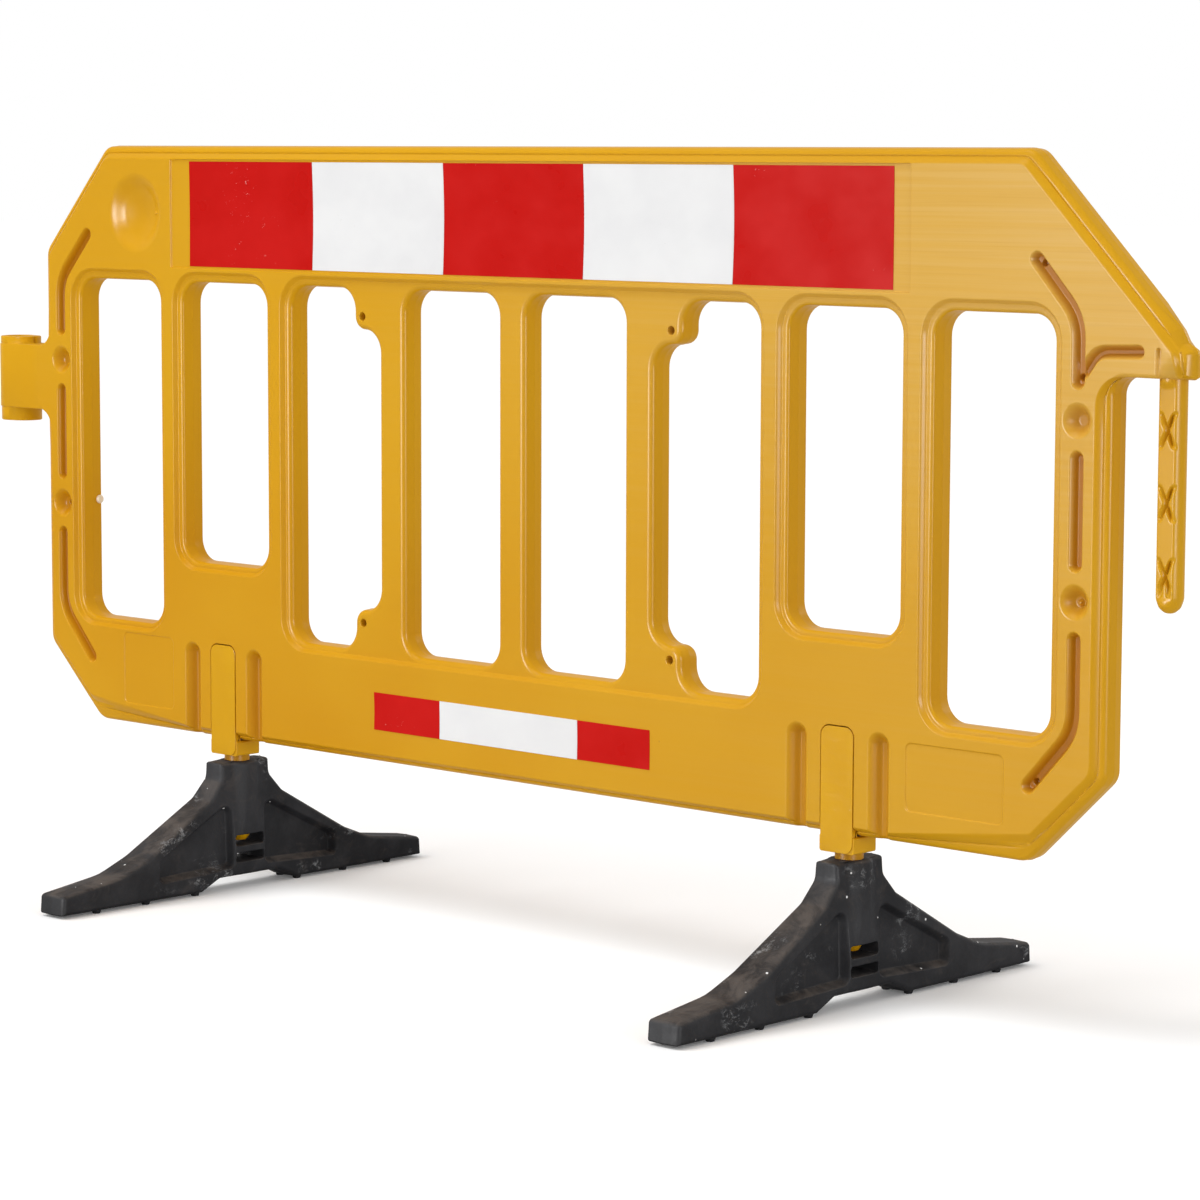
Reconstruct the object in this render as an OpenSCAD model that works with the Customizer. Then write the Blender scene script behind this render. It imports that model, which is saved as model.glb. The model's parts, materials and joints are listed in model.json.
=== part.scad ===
// Crowd control barrier. A hollow blow-moulded panel with eight windows has a coupling hook at one end
// and a coupling loop at the other. It stands on two leg brackets, whose round pegs turn in rubber feet.
// The origin is on the ground under the middle of the overall length. X runs along the panel towards the
// hook, Y runs through it from the front face to the rear face, and Z is up.

/* [Panel] */
// Length of the panel without its hook and loop
panel_len = 1832; // [1820:2:1850]
// Height of the panel's top edge above the ground
panel_top = 1000; // [990:1:1020]
// Height of the panel's bottom edge above the ground
panel_bottom = 203; // [200:1:206]
// Thickness of the panel over its two faces
panel_t = 48; // [46:1:52]
// Thickness of the moulded wall
wall = 4; // [3:0.5:4]
// Length of the sloping top corner at the loop end, along X
corner_x = 133; // [120:1:140]
// Drop of the sloping top corner at the loop end
corner_z = 144; // [130:1:150]
// Width of the bottom corners' slope, along X
foot_corner_x = 108; // [100:1:120]
// Height of the bottom corners' slope
foot_corner_z = 103; // [95:1:110]

/* [Windows] */
// Distance between the middles of neighbouring windows
window_pitch = 215.5; // [214:0.5:217]
// Width of a window's throat
window_w = 167; // [160:1:170]
// Height of the windows' top edge
window_top = 817; // [812:1:820]
// Height of the long windows' bottom edge
window_bottom = 348; // [344:1:352]
// Height of the bottom edge of the short windows above the legs
short_window_bottom = 440; // [435:1:450]
// Corner radius of a window
window_r = 29; // [24:1:32]
// Width of the sunken rim around a window
rim_w = 14; // [12:0.5:15]
// Depth of the rims and of the sunken field around the four middle windows
rim_depth = 6; // [4:0.5:7]

/* [Coupling] */
// Distance between the loop's axis and the hook peg's axis
coupling_pitch = 1983; // [1980:1:1990]
// Radius of the hook's peg
peg_r = 15.5; // [14:0.5:16]
// Height of the peg's tip
peg_tip_z = 498; // [480:1:520]
// Height of the underside of the hook's arm
arm_z = 752; // [745:1:758]
// Radius of the loop's tube
loop_r = 27; // [26:0.5:29]
// Radius of the loop's bore
loop_bore_r = 20; // [18:0.5:21]
// Height of the loop's lower end
loop_bottom = 613; // [605:1:620]
// Height of the loop's upper end
loop_top = 732; // [726:1:740]

/* [Sign plate] */
// Distance between the sign plate's holes along X
sign_dx = 538; // [534:1:542]
// Distance between the sign plate's holes along Z
sign_dz = 398; // [394:1:402]
// Radius of the sign plate's holes
sign_hole_r = 4.5; // [3.5:0.5:5]

/* [Strips] */
// Length of one block of the upper reflective strip
block_len = 243; // [238:1:244]
// Height of the upper reflective strip
strip_h = 140; // [136:1:144]
// Height of the upper strip's lower edge above the ground
strip_z = 839; // [836:1:842]
// Distance of the upper strip's middle from the panel's middle
strip_shift = 6; // [-10:1:10]
// Height of the lower reflective strip
sill_strip_h = 49; // [44:1:52]
// Height of the lower strip's lower edge above the ground
sill_strip_z = 247; // [244:1:250]
// Thickness of the reflective sheet
sheet_t = 0.6; // [0.5:0.1:0.8]

/* [Legs] */
// Width of a leg bracket's front tab
tab_w = 48; // [46:1:50]
// Height of the tab's top
tab_top = 331; // [326:1:334]
// Radius of the bracket's peg
leg_peg_r = 17; // [16:0.5:18]
// Radial clearance between the peg and the foot's bore
peg_gap = 0.05; // [0.04:0.01:0.08]

/* [Feet] */
// Length of a foot
foot_len = 650; // [640:2:660]
// Width of a foot at its base
foot_w = 52; // [50:1:54]
// Height of the foot's neck
neck_z = 174; // [172:1:176]
// Height of the studs under the sole
stud_h = 3; // [2:0.5:4]

/* [Hidden] */
$fn = 48;
yellow = "#dca428";
bright_yellow = "#e3ad1b";
black_rubber = "#3a3a3d";
red = "#cf1f1a";
white = "#f2f2f2";
half_t = panel_t / 2;
half_len = panel_len / 2;
// Over-length that makes a cut run clean through a face
over = 1;
// The hook's nose and the loop's outer side set the overall length, which the origin is in the middle of
nose_reach = 32;
hook_x = coupling_pitch / 2 + (loop_r - nose_reach) / 2;
loop_x = hook_x - coupling_pitch;
// The panel's own middle in the frame
panel_x = hook_x - 985.5;
nose_x = hook_x + nose_reach;
// Legs stand under the middles of the second and the seventh window
leg_dx = 2.5 * window_pitch;
window_mid = [for (i = [0 : 7]) (i - 3.5) * window_pitch];
short_windows = [1, 6];
rim_half = window_w / 2 + rim_w;
rim_r = window_r + rim_w;
// Border: the flat face stops this far inside the panel's edge, and the edge is this thick
border_w = 19;
border_half_t = 14;
face_bottom = panel_bottom + 12;
face_turn_x = 615;
face_end_x = 818;
face_end_z = panel_bottom + 35;
// Upper strip recess, which runs past the blocks at each end
recess_end = 34;
recess_rim = 3;
recess_depth = 2;
// Arm and knob of the hook, in the panel's own frame
knob_z = 799;
knob_h = 32;
knob_r = 14;
arm_end = nose_x - panel_x - knob_r;
arm_fillet = 20;
hook_corner_x = 803;
// Crossed notches in the hook's peg
notch_z = [539, 618, 697];
// The plate that joins the loop's tube to the panel, and the fillets where it meets the panel
web_z = [632, 721.5];
web_fillet = 12;
// Grooves and dimples in the end posts
groove_x = 875;
groove_w = 17;
groove_depth = 10;
dimple_r = 20;
dimple_depth = 11;
dimple_z = [503, 703];
// Round conical recess in the upper corner at the loop end
cone_x = -712;
cone_z = 909;
cone_r = 54;
cone_floor_r = 24;
cone_depth = 15;
// Vertical flutes on each side of a leg bracket
flute_dx = 62;
flute_r = 13;
flute_top = 316;
flute_depth = 11;
// Bracket's seat in the panel
seat_gap = 0.5;
tab_t = 10;
tab_proud = 0.5;
tab_r = 12;
block_w = 52;
block_z = 182;
block_back = 12;
stem_w = 34;
stem_t = 18;
stem_top = 262;
// Foot
ridge_w = 34;
boss_r = 27;
toe_h = 30;
peg_end_z = 64;
peg_cone_h = 8;
arch_top = 18;
arch_half = [84, 52];
pocket_floor = 14;
pocket = [[34, 32], [160, 26], [158, 56], [40, 118]];
slot_z = [[38, 49], [60, 73]];
slot_half = 24;
toe_end = foot_len / 2;
foot_profile = [
    [toe_end, stud_h], [toe_end, 24], [toe_end - 6, toe_h], [226, 43],
    [178, 62], [66, 127], [44, 152], [44, neck_z]
];
stud_y = [92, 178, 262];
stud_r = 6;
stud_x = 17;
// Air plug in the wall of the first window
plug_y = 12;
plug_z = 508;
plug_r = 6;

function unit(v) = v / norm(v);
// A polygon's corners, listed anticlockwise, with each one rounded to its own radius
function rounded(pts, radii, steps = 6) = [
    for (i = [0 : len(pts) - 1])
        let (
            n = len(pts),
            back = unit(pts[(i + n - 1) % n] - pts[i]),
            ahead = unit(pts[(i + 1) % n] - pts[i]),
            half = acos(back * ahead) / 2,
            centre = pts[i] + unit(back + ahead) * radii[i] / sin(half),
            turn = sign(cross(-back, ahead)),
            start = atan2(back.y, back.x) + 90 * turn
        )
        for (k = [0 : steps])
            let (angle = start + turn * k * (180 - 2 * half) / steps)
            centre + radii[i] * [cos(angle), sin(angle)]
];

// Lays a drawing of the front elevation, X and Z, into the panel as a slab between two depths
module slab(y0, y1) {
    translate([panel_x, y1, 0]) rotate([90, 0, 0]) linear_extrude(y1 - y0) children();
}

module both_faces() {
    children();
    mirror([0, 1, 0]) children();
}

module rounded_rect(x0, x1, z0, z1, r) {
    translate([x0 + r, z0]) square([x1 - x0 - 2 * r, z1 - z0]);
    translate([x0, z0 + r]) square([x1 - x0, z1 - z0 - 2 * r]);
    for (x = [x0 + r, x1 - r], z = [z0 + r, z1 - r]) translate([x, z]) circle(r);
}

// Corners along one side of a groove that follows pts, at a distance d to the left of it
function groove_side(pts, d) = [
    for (i = [0 : len(pts) - 1])
        let (
            back = unit(pts[i] - pts[max(i - 1, 0)] + (i == 0 ? pts[1] - pts[0] : [0, 0])),
            ahead = i == len(pts) - 1 ? back : unit(pts[i + 1] - pts[i]),
            mid = unit(back + ahead),
            tip = (i == 0 ? -1 : i == len(pts) - 1 ? 1 : 0) * abs(d)
        )
        pts[i] + [-mid.y, mid.x] * d / (mid * back) + mid * tip
];

// A groove's outline around the line pts, with rounded ends and bends
module groove_2d(pts, w) {
    right = groove_side(pts, -w / 2);
    left = groove_side(pts, w / 2);
    outline = concat(right, [for (i = [len(left) - 1 : -1 : 0]) left[i]]);
    polygon(rounded(outline, [for (p = outline) w / 2 - 1]));
}

// A polygon's corners, listed anticlockwise, moved in so that each edge shifts by d
function inset(pts, d) = [
    for (i = [0 : len(pts) - 1])
        let (
            n = len(pts),
            back = unit(pts[(i + n - 1) % n] - pts[i]),
            ahead = unit(pts[(i + 1) % n] - pts[i]),
            half = acos(back * ahead) / 2,
            turn = sign(cross(-back, ahead))
        )
        pts[i] + turn * unit(back + ahead) * d / sin(half)
];

// The panel's outline over its middle, from the lower corner at the loop end
corners = [
    [-half_len, panel_bottom + foot_corner_z],
    [-half_len + foot_corner_x, panel_bottom],
    [half_len - foot_corner_x, panel_bottom],
    [half_len, panel_bottom + foot_corner_z],
    [half_len, arm_z],
    [arm_end, arm_z],
    [arm_end, knob_z],
    [hook_corner_x, panel_top],
    [-half_len + corner_x, panel_top],
    [-half_len, panel_top - corner_z]
];
corner_radii = [25, 30, 30, 25, arm_fillet, 4, 8, 25, 25, 25];

function edge_outline(d) = rounded(inset(corners, d), corner_radii);

// The flat face's outline. Its lower edge rises outside the legs, so two lower corners become four
function face_outline(d) =
    let (p = inset(corners, border_w + d))
    rounded(
        [
            p[0], [-face_end_x + d, face_end_z + d], [-face_turn_x, face_bottom + d],
            [face_turn_x, face_bottom + d], [face_end_x - d, face_end_z + d],
            p[3], p[4], p[5], p[6], p[7], p[8], p[9]
        ],
        [25, 10, 20, 20, 10, 25, arm_fillet + border_w, 1, 1, 20, 20, 20]
    );

function bottom_of(i) = len(search(i, short_windows)) > 0 ? short_window_bottom : window_bottom;

module windows_2d(grow) {
    for (i = [0 : 7])
        rounded_rect(window_mid[i] - window_w / 2 - grow, window_mid[i] + window_w / 2 + grow,
            bottom_of(i) - grow, window_top + grow, window_r + grow);
}

// Ears in the corners of the third and the sixth window, which carry the sign plate's holes
module ear_2d(side, up, grow) {
    hx = side * sign_dx / 2;
    hz = (window_top + window_bottom) / 2 + up * sign_dz / 2;
    wx = side * (1.5 * window_pitch - window_w / 2);
    wz = up > 0 ? window_top : window_bottom;
    r = 18 - grow;
    fillet = 28;
    translate([hx, hz]) circle(r);
    translate([min(hx + side * r, wx - side * 2), min(hz, wz + up * 2)])
        square([abs(hx + side * r - wx + side * 2), abs(wz + up * 2 - hz)]);
    translate([min(hx, wx - side * 2), min(hz - up * r, wz)])
        square([abs(hx - wx + side * 2), abs(wz - hz + up * r)]);
    difference() {
        translate([min(wx, wx + side * fillet), min(hz - up * r, hz - up * (r + fillet))])
            square([fillet, fillet]);
        translate([wx + side * fillet, hz - up * (r + fillet)]) circle(fillet);
    }
    difference() {
        translate([min(hx + side * r, hx + side * (r + fillet)), min(wz, wz - up * fillet)])
            square([fillet, fillet]);
        translate([hx + side * (r + fillet), wz - up * fillet]) circle(fillet);
    }
}

module window_cut_2d(grow) {
    difference() {
        windows_2d(grow);
        for (side = [-1, 1], up = [-1, 1]) ear_2d(side, up, grow);
    }
}

// Everything sunk into one face. grow thickens each shape, to leave a wall behind it in the hollow panel
module face_sinks(grow) {
    front = -half_t - over;
    // Rims of the four outer windows and the field around the four middle ones
    slab(front, -half_t + rim_depth + grow) {
        for (i = [0, 1, 6, 7])
            rounded_rect(window_mid[i] - rim_half - grow, window_mid[i] + rim_half + grow,
                bottom_of(i) - rim_w + 2 - grow, window_top + rim_w + grow, rim_r);
        rounded_rect(window_mid[2] - rim_half - grow, window_mid[5] + rim_half + grow,
            window_bottom - rim_w + 2 - grow, window_top + rim_w + grow, rim_r);
    }
    // Recess of the upper strip
    slab(front, -half_t + recess_depth + grow)
        translate([-2.5 * block_len - recess_end - grow, strip_z - recess_rim - grow])
            square([5 * block_len + 2 * (recess_end + grow), strip_h + 2 * (recess_rim + grow)]);
    // Grooves of the end posts, which turn in along the sloping corners
    slab(front, -half_t + groove_depth + grow) {
        for (side = [-1, 1]) {
            x = side * groove_x;
            groove_2d([[x, 545], [x, 661]], groove_w + 2 * grow);
            groove_2d([[x, 461], [x, 358], [side * 815, 292]], groove_w + 2 * grow);
            groove_2d([[x, 746], [x, 815], [side * 817, 878]], groove_w + 2 * grow);
        }
        groove_2d([[groove_x, 768], [898, 783], [955, 783]], groove_w - 2 + 2 * grow);
    }
    // Dimples between the grooves
    for (side = [-1, 1], z = dimple_z)
        translate([panel_x + side * groove_x, -half_t - over, z]) rotate([-90, 0, 0])
            cylinder(h = dimple_depth + over + grow, r1 = dimple_r + grow, r2 = 9 + grow);
    // Conical recess in the upper corner
    translate([panel_x + cone_x, -half_t, cone_z]) rotate([-90, 0, 0])
        cylinder(h = cone_depth + grow, r1 = cone_r + grow, r2 = cone_floor_r + grow);
    // Flutes beside the leg brackets
    for (leg = [-1, 1], side = [-1, 1])
        translate([panel_x + leg * leg_dx + side * flute_dx, -half_t - flute_r + flute_depth, 0]) {
            translate([0, 0, panel_bottom - over]) cylinder(h = flute_top - panel_bottom + over,
                r = flute_r + grow);
            translate([0, 0, flute_top]) sphere(flute_r + grow);
        }
}

// Seats of the leg brackets: a slot for the front tab and a socket for the stem
module bracket_seats(grow) {
    for (leg = [-1, 1]) translate([panel_x + leg * leg_dx, 0, 0]) {
        translate([0, -half_t + tab_t - tab_proud + seat_gap + grow, 0]) rotate([90, 0, 0])
            linear_extrude(tab_t + over + grow)
                rounded_rect(-tab_w / 2 - seat_gap - grow, tab_w / 2 + seat_gap + grow,
                    panel_bottom - 20, tab_top + seat_gap + grow, tab_r);
        translate([-stem_w / 2 - seat_gap - grow, -stem_t / 2 - seat_gap - grow, panel_bottom - over])
            cube([stem_w + 2 * (seat_gap + grow), stem_t + 2 * (seat_gap + grow),
                stem_top - panel_bottom + over + seat_gap + grow]);
    }
}

module sign_holes(grow) {
    for (side = [-1, 1], up = [-1, 1])
        translate([panel_x + side * sign_dx / 2, half_t + over,
            (window_top + window_bottom) / 2 + up * sign_dz / 2])
            rotate([90, 0, 0]) cylinder(h = panel_t + 2 * over, r = sign_hole_r + grow);
}

// The hook's peg hangs from the arm's underside by a thinner root
module hook_peg() {
    cone_h = 14;
    root_h = 8;
    root_r = 11;
    translate([hook_x, 0, peg_tip_z]) cylinder(h = cone_h, r1 = peg_r * 0.45, r2 = peg_r);
    translate([hook_x, 0, peg_tip_z + cone_h]) cylinder(h = arm_z - peg_tip_z - cone_h, r = peg_r);
    translate([hook_x, 0, arm_z - over]) cylinder(h = root_h + over, r = root_r);
}

// Crossed notches in the front of the hook's peg
module peg_notches() {
    for (z = notch_z, tilt = [-32, 32])
        translate([hook_x, -peg_r - 2, z]) rotate([45, tilt, 0]) cube([30, 6, 6], center = true);
}

module loop() {
    translate([loop_x, 0, loop_bottom]) cylinder(h = loop_top - loop_bottom, r = loop_r);
    low = web_z[0];
    high = web_z[1];
    inner = -half_len + border_w + over;
    slab(-half_t, half_t) polygon([
        [loop_x - panel_x, low], [-half_len - web_fillet, low], [-half_len, low - web_fillet],
        [inner, low - web_fillet], [inner, high + web_fillet],
        [-half_len, high + web_fillet], [-half_len - web_fillet, high], [loop_x - panel_x, high]
    ]);
}

module panel() color(yellow) difference() {
    union() {
        slab(-border_half_t, border_half_t) polygon(edge_outline(0));
        slab(-half_t, half_t) polygon(face_outline(0));
        translate([nose_x - knob_r, 0, arm_z]) cylinder(h = knob_h, r = knob_r);
        hook_peg();
        loop();
    }
    difference() {
        union() {
            slab(-border_half_t + wall, border_half_t - wall) polygon(edge_outline(wall));
            slab(-half_t + wall, half_t - wall) polygon(face_outline(wall));
        }
        slab(-half_t, half_t) window_cut_2d(wall);
        both_faces() face_sinks(wall);
        bracket_seats(wall);
        sign_holes(wall);
    }
    slab(-half_t - over, half_t + over) window_cut_2d(0);
    both_faces() face_sinks(0);
    bracket_seats(0);
    sign_holes(0);
    peg_notches();
    translate([loop_x, 0, loop_bottom - over])
        cylinder(h = loop_top - loop_bottom + 2 * over, r = loop_bore_r);
    translate([panel_x + window_mid[0] - window_w / 2 - wall - over, plug_y, plug_z]) rotate([0, 90, 0])
        cylinder(h = wall + 2 * over, r = plug_r / 2 + seat_gap);
}

module air_plug() color(white) {
    wall_x = panel_x + window_mid[0] - window_w / 2;
    translate([wall_x, plug_y, plug_z]) rotate([0, 90, 0]) cylinder(h = 3, r = plug_r);
    translate([wall_x - wall, plug_y, plug_z]) rotate([0, 90, 0]) cylinder(h = wall, r = plug_r / 2);
}

// The leg bracket at X = 0: front tab, block under the sill, stem in the panel's socket and round peg
module leg_bracket() color(bright_yellow) {
    front = -half_t - tab_proud;
    translate([0, front + tab_t, 0]) rotate([90, 0, 0]) linear_extrude(tab_t)
        rounded_rect(-tab_w / 2, tab_w / 2, block_z + 2, tab_top, tab_r);
    translate([-block_w / 2, front, block_z]) cube([block_w, block_back - front, panel_bottom - block_z]);
    translate([-stem_w / 2, -stem_t / 2, panel_bottom - over])
        cube([stem_w, stem_t, stem_top - panel_bottom + over]);
    translate([0, 0, peg_end_z + peg_cone_h])
        cylinder(h = block_z + over - peg_end_z - peg_cone_h, r = leg_peg_r);
    translate([0, 0, peg_end_z]) cylinder(h = peg_cone_h, r1 = leg_peg_r - 5, r2 = leg_peg_r);
}

module left_leg_bracket() translate([panel_x - leg_dx, 0, 0]) leg_bracket();
module right_leg_bracket() translate([panel_x + leg_dx, 0, 0]) leg_bracket();

// A foot at X = 0 across the panel, with its bore on the Z axis
module foot() color(black_rubber) difference() {
    union() {
        intersection() {
            rotate([90, 0, 90]) linear_extrude(foot_w, center = true) difference() {
                polygon(concat(
                    foot_profile,
                    [for (i = [len(foot_profile) - 1 : -1 : 0]) [-foot_profile[i].x, foot_profile[i].y]]
                ));
                polygon([
                    [-arch_half[0], 0], [arch_half[0], 0], [arch_half[0], stud_h],
                    [arch_half[1], arch_top], [-arch_half[1], arch_top], [-arch_half[0], stud_h]
                ]);
            }
            rotate([90, 0, 0]) linear_extrude(foot_len + 2 * over, center = true)
                polygon([[-foot_w / 2, 0], [foot_w / 2, 0], [foot_w / 2, 60], [ridge_w / 2, neck_z],
                    [-ridge_w / 2, neck_z], [-foot_w / 2, 60]]);
        }
        translate([0, 0, arch_top]) cylinder(h = neck_z - arch_top, r = boss_r);
        for (side = [-1, 1], edge = [-1, 1], y = stud_y)
            translate([edge * stud_x, side * y, 0]) cylinder(h = stud_h + 2, r = stud_r);
    }
    // Pockets on each side of the boss
    for (face = [-1, 1], side = [-1, 1]) mirror([face < 0 ? 1 : 0, 0, 0]) mirror([0, side < 0 ? 1 : 0, 0])
        translate([pocket_floor, 0, 0]) rotate([90, 0, 90]) linear_extrude(foot_w)
            polygon(rounded(pocket, [8, 6, 12, 10]));
    // Bore for the leg bracket's peg, and the two cross slots below it
    translate([0, 0, slot_z[1][0]]) cylinder(h = neck_z, r = leg_peg_r + peg_gap);
    for (z = slot_z) translate([-foot_w, -slot_half, z[0]]) cube([2 * foot_w, 2 * slot_half, z[1] - z[0]]);
}

module left_foot() translate([panel_x - leg_dx, 0, 0]) foot();
module right_foot() translate([panel_x + leg_dx, 0, 0]) foot();

// One block of a reflective strip, from X = x0 in the panel's own frame, on the face at depth y
module block(x0, len, z, h, y, tint) color(tint) translate([panel_x + x0, y, z]) cube([len, sheet_t, h]);

module upper_block(i, rear) {
    depth = half_t - recess_depth;
    block((i - 2.5) * block_len + strip_shift, block_len, strip_z, strip_h, rear ? depth : -depth - sheet_t,
        i % 2 == 0 ? red : white);
}

module sill_block(i, rear) {
    x = [-block_len, -block_len / 2, block_len / 2, block_len];
    block(x[i], x[i + 1] - x[i], sill_strip_z, sill_strip_h, rear ? half_t : -half_t - sheet_t,
        i % 2 == 0 ? red : white);
}

panel();
air_plug();
left_leg_bracket();
right_leg_bracket();
left_foot();
right_foot();
upper_block(0, false);  // front_strip_1_red
upper_block(1, false);  // front_strip_2_white
upper_block(2, false);  // front_strip_3_red
upper_block(3, false);  // front_strip_4_white
upper_block(4, false);  // front_strip_5_red
sill_block(0, false);  // front_sill_strip_1_red
sill_block(1, false);  // front_sill_strip_2_white
sill_block(2, false);  // front_sill_strip_3_red
upper_block(0, true);  // rear_strip_1_red
upper_block(1, true);  // rear_strip_2_white
upper_block(2, true);  // rear_strip_3_red
upper_block(3, true);  // rear_strip_4_white
upper_block(4, true);  // rear_strip_5_red
sill_block(0, true);  // rear_sill_strip_1_red
sill_block(1, true);  // rear_sill_strip_2_white
sill_block(2, true);  // rear_sill_strip_3_red
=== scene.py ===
"""Crowd control barrier: the visible pieces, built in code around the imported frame.

Shapes are drawn in millimetres and made into metres when a mesh is built. X runs along the panel towards
the hook, Y from the front face to the rear face, and Z up, as in the frame.
"""

import json
import math

import bmesh
import bpy
import numpy as np
from mathutils import Matrix, Vector, geometry


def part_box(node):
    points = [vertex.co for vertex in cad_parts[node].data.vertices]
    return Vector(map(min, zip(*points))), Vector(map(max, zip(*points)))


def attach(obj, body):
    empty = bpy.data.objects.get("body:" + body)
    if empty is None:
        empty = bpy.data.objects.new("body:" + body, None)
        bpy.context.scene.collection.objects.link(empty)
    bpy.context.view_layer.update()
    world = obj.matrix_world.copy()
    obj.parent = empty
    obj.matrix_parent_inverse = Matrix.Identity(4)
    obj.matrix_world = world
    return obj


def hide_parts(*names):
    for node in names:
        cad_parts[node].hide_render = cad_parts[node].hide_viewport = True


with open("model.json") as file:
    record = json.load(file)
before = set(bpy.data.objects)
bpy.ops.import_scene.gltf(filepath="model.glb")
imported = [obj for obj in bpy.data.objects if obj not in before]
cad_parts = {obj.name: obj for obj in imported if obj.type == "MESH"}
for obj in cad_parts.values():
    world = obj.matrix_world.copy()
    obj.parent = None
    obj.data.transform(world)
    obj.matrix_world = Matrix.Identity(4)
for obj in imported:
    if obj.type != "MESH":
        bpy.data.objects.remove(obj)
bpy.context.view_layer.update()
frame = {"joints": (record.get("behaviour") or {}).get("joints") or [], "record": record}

MM = 0.001
X, Y, Z = np.eye(3)

# ---------------------------------------------------------------- places taken from the frame


def span(node, axis):
    """Lowest and highest place of a CAD node along one axis, in millimetres."""
    low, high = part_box(node)
    return low[axis] / MM, high[axis] / MM


def mount(name):
    found = next(m for m in frame["record"]["mounts"] if m["name"] == name)
    return np.array(found["pos_m"]) / MM, found["dims"]


SILL_MIDDLE = span("front_sill_strip_2_white", 0)
PANEL_X = sum(SILL_MIDDLE) / 2
PANEL_BOTTOM, PANEL_TOP = span("panel", 2)
NOSE_X = span("panel", 0)[1] - PANEL_X
LEG_X = [j["pos_m"][0] / MM for j in frame["joints"]]
LOOP_POS, LOOP_DIMS = mount("coupling_loop")
PEG_POS, PEG_DIMS = mount("coupling_peg")
SIGN_POS, SIGN_DIMS = mount("sign_plate")
SHEET_BACK = -span("front_strip_1_red", 1)[1]
TAB_TOP = span("left_leg_bracket", 2)[1]
TAB_HALF = 24

# ---------------------------------------------------------------- sizes of the panel

# Half of the panel's thickness, and of its length without the hook and the loop
HALF_T = 24
HALF_LEN = 916
# How much the corners are cut off, along X and Z, and where the slope over the hook starts
LOWER_CUT = (108, 103)
LOOP_END_CUT = (133, 144)
SLOPE_TOP_X = 803
PITCH = 215.5
WINDOW_HALF = 83.5
WINDOW_R = 29
WINDOW_TOP = 817
# The second window and the last but one are short, so their lower ends lie higher
SHORT = (1, 6)
WINDOW_BOTTOM = {False: 348, True: 440}
WINDOW_MID = [(i - 3.5) * PITCH for i in range(8)]
# How far the sunk rim around a window reaches beyond it, above and beside it and below it
RIM = 14
LOWER_RIM = 12
RIM_DEPTH = 6
EAR_R = 17.9
BORDER = 18
# The lower border rises more at its ends than between its two knees
KNEE = (615, 12)
BORDER_END = (818, 35)
# The underside of the hook's arm
ARM_Z = 752
# The mould's parting line stands out by FLASH, and the walls lean in by DRAFT
FLASH = 0.3
FLASH_HALF = 0.9
DRAFT = 0.9
# Rounding of the outer edge, of the hook's nose, and of the outer and the inner four windows
EDGE_R = 5
NOSE_R = 13
OUTER_WINDOW_R = 5
INNER_WINDOW_R = 8
# The plate that wraps the loop, and how far the panel reaches into it
PLATE_Z = (632, 721.5)
TONGUE_X = 20
# How far beyond a soft edge the flat around it begins
MARGIN = 0.8
SIGN_HALF = np.array([SIGN_DIMS["spacing_x_mm"], SIGN_DIMS["spacing_y_mm"]]) / 2

# ---------------------------------------------------------------- outlines in a plane


def unit(v):
    return v / np.linalg.norm(v)


def cross2(a, b):
    return a[0] * b[1] - a[1] * b[0]


def ease(t):
    t = np.clip(t, 0, 1)
    return t * t * (3 - 2 * t)


def on_circle(centre, r, angle):
    return centre + r * np.array([math.cos(angle), math.sin(angle)])


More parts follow.
